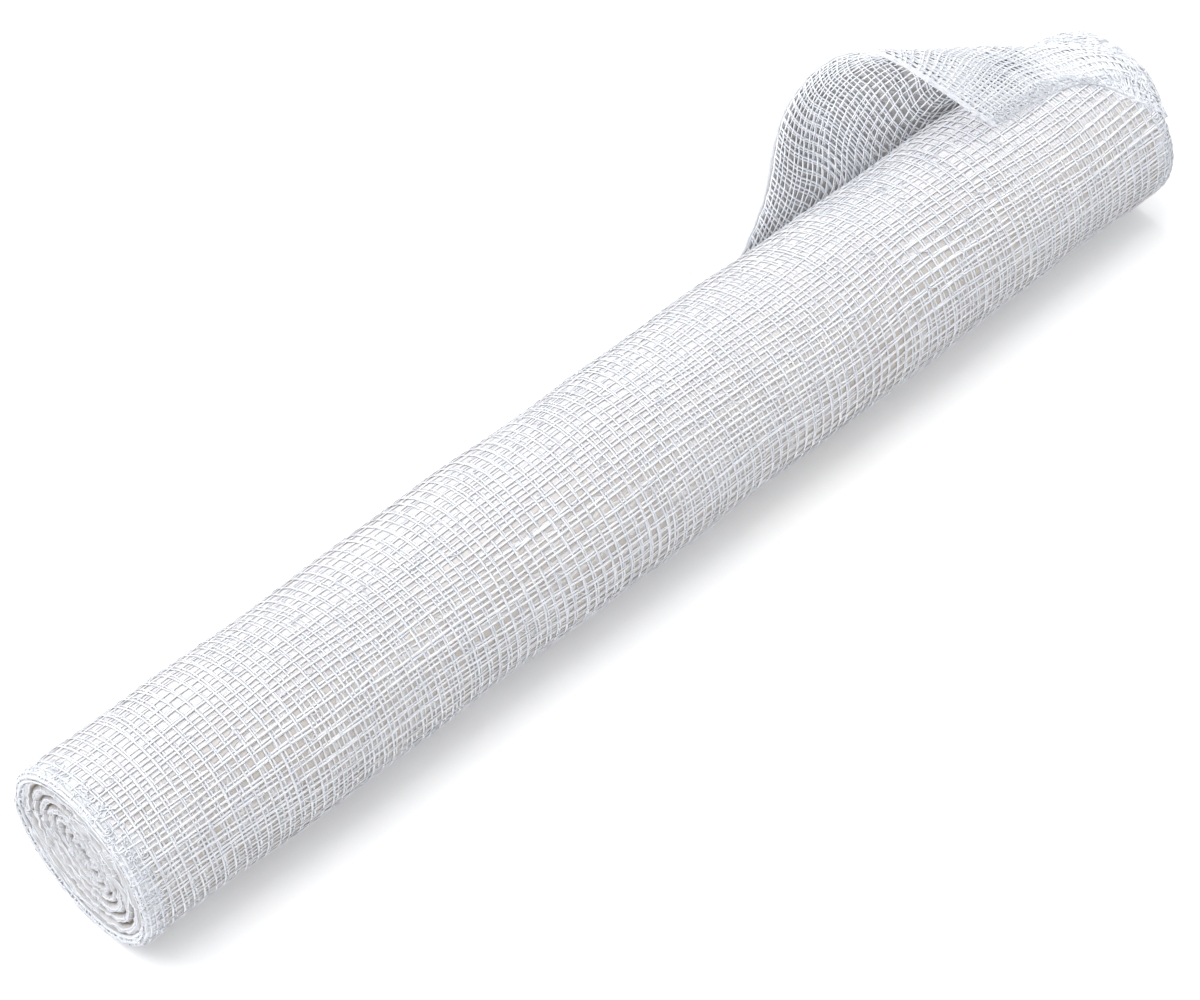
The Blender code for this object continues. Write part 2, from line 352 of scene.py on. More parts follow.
def threads_piece(name, finish, paths, normals, wide, thick, keep=None, sides=4):
    """One piece from many threads, kept above the table."""
    points, faces, uv = thread_tubes(paths, normals, wide, thick, keep, sides)
    points, faces = tidy_points(points, faces)
    points[:, 2] = np.maximum(points[:, 2], 0.0)
    return new_piece(name, points, faces, [finish], uv=uv)


def grid_normals(points, outward):
    """Unit normals of a grid of points, turned to the side that outward points to on the whole."""
    n = np.cross(np.gradient(points, axis=0), np.gradient(points, axis=1))
    n /= np.linalg.norm(n, axis=-1, keepdims=True) + 1e-12
    return n * np.sign((n * outward).sum())


# %% [markdown]
# Bleached cotton yarn, spun. Its fibres lie in a twist, so under a soft light a thread is
# not even: fine slanted ridges, about four to a millimetre, and a slightly blue white
# from the bleach.

# %% Cotton yarn
yarn, tree, shader = new_material("bleached cotton yarn, spun")
uv_in = node(tree, "ShaderNodeTexCoord").outputs["UV"]
slubs = node(tree, "ShaderNodeTexNoise", {"Vector": uv_in, "Scale": 1.1, "Detail": 3.0})
slant = node(tree, "ShaderNodeMapping",
             {"Vector": uv_in, "Scale": (1.6, 2.0, 1.0), "Rotation": (0.0, 0.0, 0.6)})
twist = node(tree, "ShaderNodeTexWave", {"Vector": slant.outputs["Vector"], "Scale": 1.0, "Distortion": 2.0})
white = ramp(tree, slubs.outputs["Fac"], (0.3, "#ECF0F9"), (0.65, "#FCFDFF"))
dress(tree, shader, white, twist.outputs["Fac"], strength=0.35, depth=0.08 * MM, roughness=0.85)

# %% [markdown]
# The plies under the top ones cannot be seen thread by thread any more: they fill the
# gaps with a warm grey-white, which is white cotton darkened as painted shade. One closed
# body stands for them, 0.25 mm under the outside. Its finish still has a weave, from the
# piece's own UV map, counted in threads. On the side that lies upwards, towards the key
# panel, the gaps are painted paler as painted light, standing in for light that soaks
# through the open cloth; a point attribute of the body holds by how much.

# %% Inner plies, seen through the gaps
def weave_finish(name, gap, thread):
    """Cloth seen through cloth: threads run along both UV axes, one per unit, pushed about by noise."""
    made, tree, shader = new_material(name)
    uv = node(tree, "ShaderNodeTexCoord").outputs["UV"]
    push = node(tree, "ShaderNodeTexNoise", {"Vector": uv, "Scale": 0.35, "Detail": 3.0})
    centred = node(tree, "ShaderNodeVectorMath",
                   {0: push.outputs["Color"], 1: (0.5, 0.5, 0.5)}, operation="SUBTRACT")
    spread = node(tree, "ShaderNodeVectorMath",
                  {0: centred.outputs["Vector"], "Scale": 1.6}, operation="SCALE")
    moved = node(tree, "ShaderNodeVectorMath", {0: uv, 1: spread.outputs["Vector"]}, operation="ADD")
    parts = node(tree, "ShaderNodeSeparateXYZ", {"Vector": moved.outputs["Vector"]})
    lines = []
    for axis in ("X", "Y"):
        saw = node(tree, "ShaderNodeMath", {0: parts.outputs[axis], 1: 0.5}, operation="PINGPONG")
        limits = {"From Min": 0.07, "From Max": 0.17, "To Min": 1.0, "To Max": 0.0}
        line = node(tree, "ShaderNodeMapRange", {"Value": saw.outputs["Value"], **limits},
                    interpolation_type="SMOOTHSTEP")
        lines.append(line.outputs["Result"])
    both = node(tree, "ShaderNodeMath", {0: lines[0], 1: lines[1]}, operation="MAXIMUM")
    woven = ramp(tree, both.outputs["Value"], (0.0, gap), (1.0, thread))
    # painted light: the weave is mixed towards pale by this attribute, on the roll's upper side and at the
    # corner sheet's edges
    painted_light = node(tree, "ShaderNodeAttribute", attribute_name="painted_light", attribute_type="GEOMETRY")
    lifted = node(tree, "ShaderNodeMix",
                  {"Factor": painted_light.outputs["Fac"], "A": woven, "B": linear("#F3F2F5")}, data_type="RGBA")
    dress(tree, shader, lifted.outputs["Result"], both.outputs["Value"],
          strength=0.6, depth=0.2 * MM, roughness=0.95)
    return made


# painted shade: the warm grey-white gaps stand for white cotton plies in shade
inner_plies_painted_shade = weave_finish("bleached gauze, plies in the shade", "#CDC6BD", "#E3E2E2")

# %% [markdown]
# On the ends the gauze shows folded: each turn of the winding is a soft rounded ridge
# about 1.6 mm wide, with a thin dark crevice to the next. The winding is a spiral, round
# outside and pressed to a slanted oval at its soft middle. The height over a polar grid
# is enough for that: the angle shifts the ridges inwards by one for each turn.

# %% Wound body with its two folded ends
TURNS, TURN_POWER, RIDGE_POWER = 8.5, 0.92, 0.6
CORE = 0.02  # share of the radius left to the hub
SLANT = (0.75, 0.66)  # the line that the soft middle is stretched along
BODY_INSET = 0.25 * MM
RIM_CENTRE = 1.01 * MM  # the outermost fold turns about a line this deep
RIM_BODY = 0.82 * MM  # radius of the body's own rim inside that fold
RIM_INSET = 0.17 * MM  # near the rims the crowded plies fill the gaps up to here
RIM_WIDTH = 3.6 * MM
AROUND = 280
END_ROWS = 104
RING_STEP = 1.72 * MM
LONG_THREADS = 53


def turn_share(t, angle):
    """How far round the spiral is, 0 to 1: even near the middle; near the rim all in the last radian."""
    late = np.clip(angle - 2 * np.pi + 1.0, 0, 1)
    return (1 - t ** 4) * angle / (2 * np.pi) + t ** 4 * smooth_step(late)


def ridge_height(t, angle, seed):
    """Ridge 0-1: |sin(pi level)|^RIDGE_POWER, level = TURNS t^TURN_POWER + turn share, made uneven."""
    wobble = 0.11 * soft_field(*t.shape, 9, 17, seed, closed=True) * np.clip((1 - t) / 0.15, 0, 1)
    level = TURNS * t ** TURN_POWER + turn_share(t, angle) + wobble
    return np.abs(np.sin(np.pi * level)) ** RIDGE_POWER


def end_surface(x_end, towards, t, angle, depth):
    """Point of an end face at t from the middle (0) to the rim (1), sunk by depth.

    The radius is t times the roll's own, stretched along a slanted line and squeezed
    across it towards the middle, which makes the pressed oval.
    """
    rim = side_point(x_end, angle, RIM_CENTRE)
    centre = float(half_sizes(np.array([x_end]))[1][0]) - FLAT_DEPTH
    y, z = t * rim[..., 1], t * (rim[..., 2] - centre)
    c, s = SLANT
    along, across = c * y + s * z, -s * y + c * z
    soft = np.clip(1 - t, 0, 1)
    along, across = along * (1 + 0.30 * soft ** 1.3), across * (1 - 0.50 * soft ** 1.1)
    y, z = c * along - s * across, s * along + c * across
    z = np.maximum(z + centre, 0.1 * MM)
    return np.stack(np.broadcast_arrays(x_end - towards * depth, y, z), axis=-1)


def end_face(x_end, towards, seed):
    """Grid of one end's points, and its ridge heights."""
    angles = 2 * np.pi * np.arange(AROUND + 1) / AROUND
    t, angle = np.meshgrid(np.linspace(CORE, 1.0, END_ROWS), angles, indexing="ij")
    ridge = 1 - (1 - ridge_height(t, angle, seed)) * np.clip((t - CORE) / 0.05, 0, 1)
    heap = 0.12 * MM * soft_field(END_ROWS, AROUND + 1, 26, 80, seed + 5, closed=True)
    heap = heap * np.clip((1 - t) / 0.1, 0, 1)
    # the outermost crevice is half closed
    ridge = ridge + (1 - ridge) * 0.6 * np.clip((t - 0.86) / 0.07, 0, 1)
    sink = 0.30 * MM + 1.00 * (1 - ridge) * MM + 0.9 * (1 - t) ** 1.5 * MM + heap * ridge
    sink = sink + 1.8 * MM * np.exp(-((t - CORE) / 0.04) ** 2)
    return end_surface(x_end, towards, t, angle, np.maximum(sink, 0.15 * MM)), ridge


near_face, near_ridge = end_face(ROLL_START, -1, 30)
far_face, far_ridge = end_face(ROLL_END, 1, 60)


def body_piece():
    """One closed surface: from the middle of one end round the rim, along the side, and the same back.

    The side lies BODY_INSET deep; towards a rim it rises to RIM_INSET over a ragged line,
    and is crumpled there by a fine soft field.
    """
    angle = 2 * np.pi * np.arange(AROUND + 1) / AROUND
    tau = np.linspace(0.18, 1.0, 6)[:, None] * np.pi / 2
    crease = 0.05 * MM * soft_field(6, AROUND + 1, 6, 120, 35, closed=True)
    rims = [side_point(x_end - towards * (FOLD - (RIM_BODY + crease) * np.cos(tau)), angle[None],
                       RIM_CENTRE - (RIM_BODY + crease) * np.sin(tau))
            for x_end, towards in ((ROLL_START, -1), (ROLL_END, 1))]
    deep = np.linspace(1.1, 6.0, 22) * MM
    even = np.linspace(ROLL_START + 8 * MM, ROLL_END - 8 * MM, 44)
    xs = np.concatenate([ROLL_START + deep, even, ROLL_END - deep[::-1]])
    from_rim = np.minimum(xs - ROLL_START, ROLL_END - xs)[:, None]
    ragged = 0.9 * MM * soft_field(len(xs), AROUND + 1, 9, 60, 33, closed=True)
    band = np.clip((RIM_WIDTH + ragged - from_rim) / (1.4 * MM), 0, 1)
    crumple = 0.06 * MM * soft_field(len(xs), AROUND + 1, len(xs), 130, 34, closed=True)
    inset = BODY_INSET + (RIM_INSET - BODY_INSET) * band + crumple * band
    side = side_point(xs[:, None], angle[None], inset)
    grid = np.concatenate([near_face, rims[0], side, rims[1][::-1], far_face[::-1]])
    total = len(grid)
    ones = lambda part: np.ones(part.shape[:2])
    ridge = np.concatenate([near_ridge, ones(rims[0]), ones(side), ones(rims[1]), far_ridge[::-1]])
    grid[:, -1] = grid[:, 0] = 0.5 * (grid[:, 0] + grid[:, -1])
    points = grid[:, :-1]
    ids = np.arange(total * AROUND).reshape(total, AROUND)
    nxt = np.roll(ids, -1, axis=1)
    quads = np.stack([ids[:-1], nxt[:-1], nxt[1:], ids[1:]], axis=-1).reshape(-1, 4)
    run = lengths_along(grid[None, :, AROUND // 2])[0] / RING_STEP
    count = angle / (2 * np.pi) * LONG_THREADS
    u, v = np.meshgrid(run, count, indexing="ij")
    at = np.stack([u, v], axis=-1)
    uv = np.stack([at[:-1, :-1], at[:-1, 1:], at[1:, 1:], at[1:, :-1]], axis=2).reshape(-1, 2)
    hub = np.stack([points[0].mean(axis=0), points[-1].mean(axis=0)])
    hub += np.array([[0.3 * MM, 0, 0], [-0.3 * MM, 0, 0]])
    k = total * AROUND
    fans = np.concatenate([np.stack([np.full(AROUND, k), nxt[0], ids[0]], -1),
                           np.stack([np.full(AROUND, k + 1), ids[-1], nxt[-1]], -1)])
    uv = np.concatenate([uv, np.zeros((fans.size, 2))])
    slots = np.ones((total - 1, AROUND))
    first = END_ROWS + len(rims[0])
    slots[first:first + len(xs) - 1] = band[1:, 1:] > 0.45
    slots = np.concatenate([slots.ravel(), np.ones(len(fans))])
    ridge = np.concatenate([ridge[:, :-1].ravel(), [0.0, 0.0]])
    # painted light: the gaps are painted paler in a band round the top, towards the key panel
    painted_light = 0.75 * np.exp(-((angle[:-1] - LIT_ANGLE) / 0.75) ** 2)
    painted_light = np.concatenate([np.tile(painted_light, total), [0.0, 0.0]])
    return (np.concatenate([points.reshape(-1, 3), hub]), [quads, fans], uv,
            {"ridge": ridge, "painted_light": painted_light}, slots)


# %% [markdown]
# Folded gauze on the ends. Many layers lie edge on here, so it looks almost solid: a
# soft white felt of thread ends. Where one turn meets the next, a warm grey is painted
# in as the crevice's shade. The attribute "ridge", 1 on top of a fold and 0 in a
# crevice, carries that painted shade.

# %% Folded ends
folded_ends, tree, shader = new_material("bleached gauze, folded layers edge on")
ridge_in = node(tree, "ShaderNodeAttribute", attribute_name="ridge", attribute_type="GEOMETRY")
spot = node(tree, "ShaderNodeTexCoord").outputs["Object"]
felt = node(tree, "ShaderNodeTexNoise", {"Vector": spot, "Scale": 1100.0, "Detail": 4.0, "Roughness": 0.65})
clumps = node(tree, "ShaderNodeTexNoise", {"Vector": spot, "Scale": 420.0, "Detail": 2.0})
mix_in = node(tree, "ShaderNodeMath", {0: felt.outputs["Fac"], 1: 0.36, 2: -0.18}, operation="MULTIPLY_ADD")
shade_in = node(tree, "ShaderNodeMath",
                {0: ridge_in.outputs["Fac"], 1: mix_in.outputs["Value"]}, operation="ADD")
# painted shade: the crevices are painted a darker warm grey, the fold tops pale
shade = ramp(tree, shade_in.outputs["Value"], (0.40, "#958D84"), (0.68, "#C6C3C1"), (1.0, "#E1E3E8"))
rough = node(tree, "ShaderNodeMath", {0: felt.outputs["Fac"], 1: clumps.outputs["Fac"]}, operation="ADD")
dress(tree, shader, shade, rough.outputs["Value"], strength=0.5, depth=0.2 * MM, roughness=0.95)

# %% Wound body, made
body_points, body_faces, body_uv, body_values, body_slots = body_piece()
wound_body = new_piece("wound_body", body_points, body_faces, [inner_plies_painted_shade, folded_ends],
                       uv=body_uv, values=body_values, slots=body_slots)
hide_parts("gauze_roll")

# %% [markdown]
# One ply of gauze round the roll. Ring threads go round, long threads run from end to
# end; they share one grid of crossing points and take turns to be on top. Nothing in
# gauze is even, so the grid is pushed about by soft random fields: each thread has its
# own place, drifts along its length, and whole patches lean together. Near both rims the
# threads crowd, and the ply folds over into the end face.

# %% One ply of the side
HALF = (ROLL_END - ROLL_START) / 2
MIDDLE = (ROLL_END + ROLL_START) / 2


def ring_places(step, crowd, beyond):
    """Places of the ring threads: one per step, closer by crowd in the last 3.5 mm, and beyond the rims."""
    s = np.linspace(-HALF - beyond, HALF + beyond, 4001)
    gap = step * (1 - crowd * np.clip((np.abs(s) - (HALF - 3.5 * MM)) / (3.0 * MM), 0, 1))
    count = np.concatenate([[0], np.cumsum(np.diff(s) / (0.5 * (gap[1:] + gap[:-1])))])
    return np.interp(np.arange(int(count[-1]) + 1), count, s)


def ply_point(s, angle, inset, fold):
    """Point of a ply at length s from the middle: along the side, then round the rim with radius fold."""
    over = np.clip((np.abs(s) - (HALF - fold)) / fold, 0, None)
    straight = np.minimum(np.abs(s), HALF - fold)
    x = MIDDLE + np.sign(s) * (straight + fold * np.sin(np.minimum(over, 2.6)))
    return side_point(x, angle, inset + fold * (1 - np.cos(np.minimum(over, 2.6))))


def side_ply(name, seed, inset, fold, beside, wide, thick):
    """Ring threads and long threads of one ply as two pieces.

    The plies were folded together, so they share one unevenness (seeds 100, 103 and 104);
    beside shifts this ply against the other by that part of a mesh, and drifts.
    """
    s = ring_places(RING_STEP, 0.60, 1.5 * FOLD)
    rings, columns = len(s), LONG_THREADS + 2
    field = lambda *coarse: soft_field(rings, columns, *coarse)
    rng = np.random.default_rng(100)
    spacing = 2 * np.pi / LONG_THREADS
    angle = np.concatenate([[0.0], (np.arange(LONG_THREADS) + 0.5) * spacing, [2 * np.pi]])
    off_ring, off_long = (rng.uniform(-0.12, 0.12, number) for number in (rings, columns))
    own_ring = off_ring[:, None] + 0.06 * field(rings, 12, seed + 1)
    own_long = off_long[None] + 0.07 * field(34, columns, seed + 2)
    patch_s, patch_a = 0.28 * field(14, 7, 103), 0.28 * field(12, 7, 104)
    jump_s, jump_a = rng.uniform(-1, 1, rings)[:, None], rng.uniform(-1, 1, columns)[None]
    drift_s = beside * (1.0 + 0.42 * field(16, 9, 105) + 0.18 * jump_s)
    drift_a = beside * (1.0 + 0.42 * field(13, 9, 106) + 0.18 * jump_a)
    calm = np.clip((HALF - np.abs(s)) / (5 * MM), 0.25, 1)[:, None]
    places = np.sort(s[:, None] + (own_ring + patch_s + drift_s) * RING_STEP * calm, axis=0)
    edge = np.clip(np.minimum(angle, 2 * np.pi - angle) / 0.3, 0, 1)[None]
    angles = angle[None] + (own_long + patch_a + drift_a) * spacing * edge
    angles = np.clip(np.sort(angles, axis=1), 0, 2 * np.pi)
    middle = ply_point(places, angles, inset, fold)
    outward = np.stack([0.0 * angles, np.cos(angles), -np.sin(angles)], axis=-1)
    outward[..., 0] = np.sign(places) * np.clip((np.abs(places) - (HALF - fold)) / fold, 0, 2)
    normal = grid_normals(middle, outward)
    i, j = np.indices((rings, columns))
    over = np.where((i + j) % 2 == 0, 1.0, -1.0)[..., None] * thick * 0.42
    slub_r = 1 + 0.16 * field(rings, 20, seed + 5)
    slub_l = 1 + 0.16 * soft_field(columns, rings, columns, 34, seed + 6)
    on_top = (0.055 * np.exp(-((angles - LIT_ANGLE) / 0.7) ** 2) - 0.012)[..., None] * MM
    high, low = middle + normal * (over + on_top), middle - normal * (over + on_top * 0.5)
    ring = threads_piece(name + "_ring_threads", yarn, high, normal, wide * slub_r, thick * slub_r)
    along = low.swapaxes(0, 1)[1:-1]
    long = threads_piece(name + "_long_threads", yarn, along, normal.swapaxes(0, 1)[1:-1],
                         wide * slub_l[1:-1], thick * slub_l[1:-1])
    for one in (ring, long):
        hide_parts("gauze_roll")


side_ply("second_ply", 200, inset=0.15 * MM, fold=0.86 * MM, beside=0.33, wide=0.34 * MM, thick=0.09 * MM)
side_ply("top_ply", 100, inset=0.07 * MM, fold=0.94 * MM, beside=0.0, wide=0.35 * MM, thick=0.10 * MM)

# %% [markdown]
# Threads on the end faces. Along each fold run a few ring threads, and the long threads
# turn over it from crevice to crevice. They are laid on the face by reading its grid at
# fractional rows and columns, so they follow every ridge.

# %% Threads of the end faces
def on_face(face, normal, t, angle, lift):
    """Point and normal of an end face at (t, angle), raised by lift."""
    rows = (t - CORE) / (1 - CORE) * (END_ROWS - 1)
    cols = np.mod(angle, 2 * np.pi) / (2 * np.pi) * AROUND
    n = read_grid(normal, rows, cols)
    return read_grid(face, rows, cols) + n * lift, n


def level_to_t(level, angle):
    """Solves TURNS t^TURN_POWER = level - turn share for t, by four rounds of substitution."""
    t = np.full_like(level, 0.7)
    for _ in range(4):
        left = (level - turn_share(t, np.mod(angle, 2 * np.pi))) / TURNS
        t = np.clip(left, 0.0004, 1) ** (1 / TURN_POWER)
    return t


def end_threads(name, face, towards, seed):
    """Spiral threads along the folds of one end, and short ones over them."""
    rng = np.random.default_rng(seed)
    normal = grid_normals(face, np.array([float(towards), 0.0, 0.0]))
    steps = 820
    theta = np.linspace(0.0, 2 * np.pi * 7.3, steps)[None]
    offsets = np.array([0.36, 0.64])[:, None]
    wander = 0.05 * soft_field(2, steps, 2, 160, seed)
    turns_done = np.floor(theta / (2 * np.pi))
    t = level_to_t(TURNS - 0.5 + offsets + wander - turns_done, theta + 0 * offsets)
    path, n = on_face(face, normal, np.maximum(t, 0.03), theta + 0 * t, 0.03 * MM)
    keep = (t[:, 1:] > 0.10) & (t[:, 1:] < 0.985)
    broken = rng.random(keep.shape) > 0.05
    wide = 0.32 * MM * np.clip(1.4 * t, 0.4, 1)
    runs = threads_piece(name + "_fold_threads", yarn, path, n, wide, 0.12 * MM, keep=keep & broken)
    count = 120
    turn_no = np.sqrt(rng.uniform(0.02, 0.98, count)) * 7.6
    start, lean = rng.uniform(0, 2 * np.pi, count)[:, None], rng.uniform(-2, 2, count)[:, None]
    angle = start + np.linspace(-0.02, 0.02, 9)[None] * lean
    level = np.floor(turn_no)[:, None] + 0.02 + np.linspace(0.16, 0.84, 9)[None]
    t = level_to_t(level + 1.0, angle)
    path, n = on_face(face, normal, np.clip(t, 0.05, 0.99), angle, 0.07 * MM)
    over = threads_piece(name + "_over_threads", yarn, path, n, 0.22 * MM, 0.13 * MM)
    for one in (runs, over):
        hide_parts("gauze_roll")


end_threads("near_end", near_face, -1, 500)
end_threads("far_end", far_face, 1, 540)

# %% [markdown]
# Loose fibres and small loops. Gauze is never clean: short curls of cotton lie on it, and
# near both rims the crowded threads buckle into little loops, so the weave there turns
# into a soft crumpled band. Each is a short path whose direction turns at its own pace.

# %% Curls and rim loops
def curl_offsets(count, points, length, bend, seed):
    """Flat curls: direction = start + turn * s + a sine, summed into x and y along the curl, centred."""
    rng = np.random.default_rng(seed)
    s = np.linspace(0, 1, points)[None]
    limits = ((0, 2 * np.pi), (-bend, bend), (0.2, 1.3), (3, 9), (0, 6), (0.5, 1.0))
    start, turn, swing, waves, phase, part = (rng.uniform(*pair, (count, 1)) for pair in limits)
    heading = start + turn * s + swing * np.sin(waves * s + phase)
    step = part * length / (points - 1)
    flat = np.cumsum(np.stack([np.cos(heading), np.sin(heading)], -1) * step[..., None], axis=1)
    return flat - flat.mean(axis=1, keepdims=True)


def side_curls(name, seed, count, where, length, bend, width, rise, points=10):
    """Curls laid on the side of the roll; where() gives their middles as length s and angle."""
    rng = np.random.default_rng(seed)
    s0, a0 = where(rng, count)
    flat = curl_offsets(count, points, length, bend, seed + 1)
    s = s0[:, None] + flat[..., 0]
    angle = np.clip(a0[:, None] + flat[..., 1] / MEAN_RADIUS, 0.01, 2 * np.pi - 0.01)
    lift = rise * (0.4 + 0.6 * rng.random((count, 1))) * np.sin(np.linspace(0.2, np.pi - 0.2, points))[None]
    path = ply_point(s, angle, 0.05 * MM - lift, FOLD)
    normal = np.stack([0 * angle, np.cos(angle), -np.sin(angle)], axis=-1)
    normal[..., 0] = np.sign(s) * np.clip((np.abs(s) - (HALF - FOLD)) / FOLD, 0, 2)
    normal /= np.linalg.norm(normal, axis=-1, keepdims=True)
    made = threads_piece(name, yarn, path, normal, width, width * 0.7, sides=3)
    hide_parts("gauze_roll")


def anywhere(rng, count):
    """Places all over the side."""
    return rng.uniform(-HALF, HALF, count), rng.uniform(0.05, 2 * np.pi - 0.05, count)


def at_rims(rng, count):
    """Places close to either rim."""
    deep = rng.uniform(-1.6, 3.2, count) * MM
    end = np.where(rng.random(count) < 0.5, -1, 1)
    return end * (HALF - deep), rng.uniform(0.05, 2 * np.pi - 0.05, count)


side_curls("loose_fibres", 600, 700, anywhere, 3.0 * MM, 4.0, 0.15 * MM, 0.15 * MM)
side_curls("rim_loops", 620, 800, at_rims, 2.4 * MM, 7.0, 0.24 * MM, 0.07 * MM)

# %% [markdown]
# The loose corner. The outer cloth comes up at the back of the roll, arches over and
# lies down again on top, and its first arch is the folded cut end. Six arches, each with
# eight places, carry the form, and two splines fill in the surface. The places, in
# millimetres, were worked out beforehand along lines of sight at guessed depths, then
# rounded and in part changed. The corner is two plies thick, so a thin closed
# sheet stands for the plies in its middle and nets of threads lie on either side.

# %% Surface of the loose corner
ARCH_PLACE = (0.0, 0.34, 0.57, 0.71, 0.86, 1.0)
ACROSS_PLACE = (0.0, 0.12, 0.26, 0.40, 0.53, 0.66, 0.82, 1.0)
ARCHES = (
    ((34.0, 15.0, 14.5), (39.5, 15.0, 25.0), (42.0, 15.5, 34.5), (44.0, 14.5, 42.0),
     (47.0, 12.0, 48.0), (50.5, 8.0, 51.0), (57.0, 4.0, 46.0), (73.0, 0.0, 27.5)),
    ((50.0, 15.0, 14.5), (53.0, 15.5, 18.5), (54.0, 16.5, 24.5), (55.0, 16.0, 32.5),
     (58.5, 13.0, 39.5), (67.5, 9.0, 40.0), (77.5, 4.0, 34.0), (85.0, -0.5, 27.5)),
    ((62.0, 15.0, 14.5), (62.5, 15.0, 17.5), (63.5, 15.5, 21.5), (65.5, 14.0, 28.0),
     (70.0, 12.0, 32.0), (78.0, 8.0, 34.5), (85.0, 3.0, 31.0), (90.5, -2.0, 27.0)),
    ((74.0, 15.0, 14.5), (73.5, 14.5, 17.0), (75.0, 14.5, 19.0), (77.5, 13.0, 22.5),
     (81.5, 11.0, 26.0), (86.5, 7.5, 29.5), (90.0, 1.5, 29.5), (93.0, -4.5, 27.0)),
    ((87.0, 14.5, 14.5), (90.0, 14.0, 17.0), (92.0, 13.0, 20.0), (93.5, 10.0, 23.5),
     (95.0, 6.5, 26.0), (96.5, 2.0, 27.0), (97.5, -3.5, 27.0), (95.5, -8.5, 24.5)),
    ((99.5, 14.0, 14.5), (100.0, 13.0, 17.5), (100.5, 11.0, 21.0), (100.5, 8.0, 24.0),
     (100.5, 3.5, 26.0), (100.5, -2.0, 26.0), (100.5, -7.5, 24.0), (100.0, -11.5, 19.5)),
)
CORNER_GAP, CORNER_THICK = 0.5 * MM, 1.0 * MM
LYING_FROM, LYING_OVER, LYING_DROP = 74 * MM, 14 * MM, 0.80 * MM  # where the corner lies lower on the roll
LAID_FROM, LAID_OVER = 78 * MM, 12 * MM  # where its woven edge hugs the roll
RIM_FROM, RIM_OVER, RIM_DROP = ROLL_END - 0.6 * MM, 1.2 * MM, 1.4 * MM


def corner_surface(rows, points):
    """Middle of the loose corner: splines along and across the arches, pushed out to clear the roll."""
    along = spline(ARCH_PLACE, np.array(ARCHES), np.linspace(0, 1, rows))
    grid = spline(ACROSS_PLACE, along.swapaxes(0, 1), np.linspace(0, 1, points)).swapaxes(0, 1) * MM
    x, y, z = np.moveaxis(grid, -1, 0)
    a, b = half_sizes(x)
    centre = b - FLAT_DEPTH
    angle = np.mod(np.arctan2(-(z - centre) / b, y / a), 2 * np.pi)
    surface = side_point(x, angle, 0.0)
    reach = np.hypot(surface[..., 1], surface[..., 2] - centre)
    lying = np.clip((x - LYING_FROM) / LYING_OVER, 0, 1) * np.linspace(0, 1, points)[None] ** 2
    need = reach + CORNER_GAP + CORNER_THICK / 2 - LYING_DROP * smooth_step(lying)
    need = need - RIM_DROP * np.clip((x - RIM_FROM) / RIM_OVER, 0, 1) ** 2
    push = need / np.hypot(y, z - centre) - 1
    scale = 1 + 0.5 * (push + np.sqrt(push ** 2 + 0.012 ** 2))
    laid = np.clip((x - LAID_FROM) / LAID_OVER, 0, 1) * np.linspace(0, 1, points)[None] ** 7
    scale = scale + (1 + push - scale) * smooth_step(laid)
    return np.stack([x, y * scale, centre + (z - centre) * scale], axis=-1)


FINE = 241
COLUMNS = np.arange(FINE)
corner = corner_surface(FINE, FINE)[:, ::-1]  # columns now start at the woven edge
corner_normal = grid_normals(corner, corner - np.array([0.0, 0.0, 13.7 * MM]))  # away from the axis
corner_run = lengths_along(corner)
row_gap = np.linalg.norm(np.diff(corner, axis=0), axis=2)
row_run = np.concatenate([[0], np.cumsum(row_gap[:, 20:150].mean(axis=1))])
print("arch lengths mm", np.round(corner_run[::60, -1] / MM, 1), "across mm", round(row_run[-1] / MM, 1))

# %% [markdown]
# The sheet in the middle of the loose corner is what is seen between its threads, and its
# colours are painted shade: greyish in the hollow, and dark gaps under pale threads
# outside, where the shaded inside shows through. Its two sides are separate faces, so
# each has its own finish. Towards its edges, where the threads lie close together,
# an attribute lifts it to as pale as they are, and the painted shade fades out there.

# %% Middle sheet of the loose corner
# painted shade: the greys of the hollow side and the dark gaps of the outside stand for the shaded inside of
# the corner
hollow_side_painted_shade = weave_finish("bleached gauze, hollow side in the shade", "#A6A4A1", "#C0BFBF")
outside_painted_dark_gaps = weave_finish("bleached gauze, outside of the corner", "#70717F", "#E6E6EC")
SHEET_ROWS, SHEET_COLS, SHEET_THICK = 90, 120, 0.25 * MM


def edge_share(p, q):
    """0 at the cut end, woven edge and far rim, where the plies come together, and 1 from 2.5 mm inwards."""
    nearest = np.minimum(np.minimum(p, q), row_run[-1] - p)
    return np.clip(nearest / (2.5 * MM), 0, 1)[..., None]


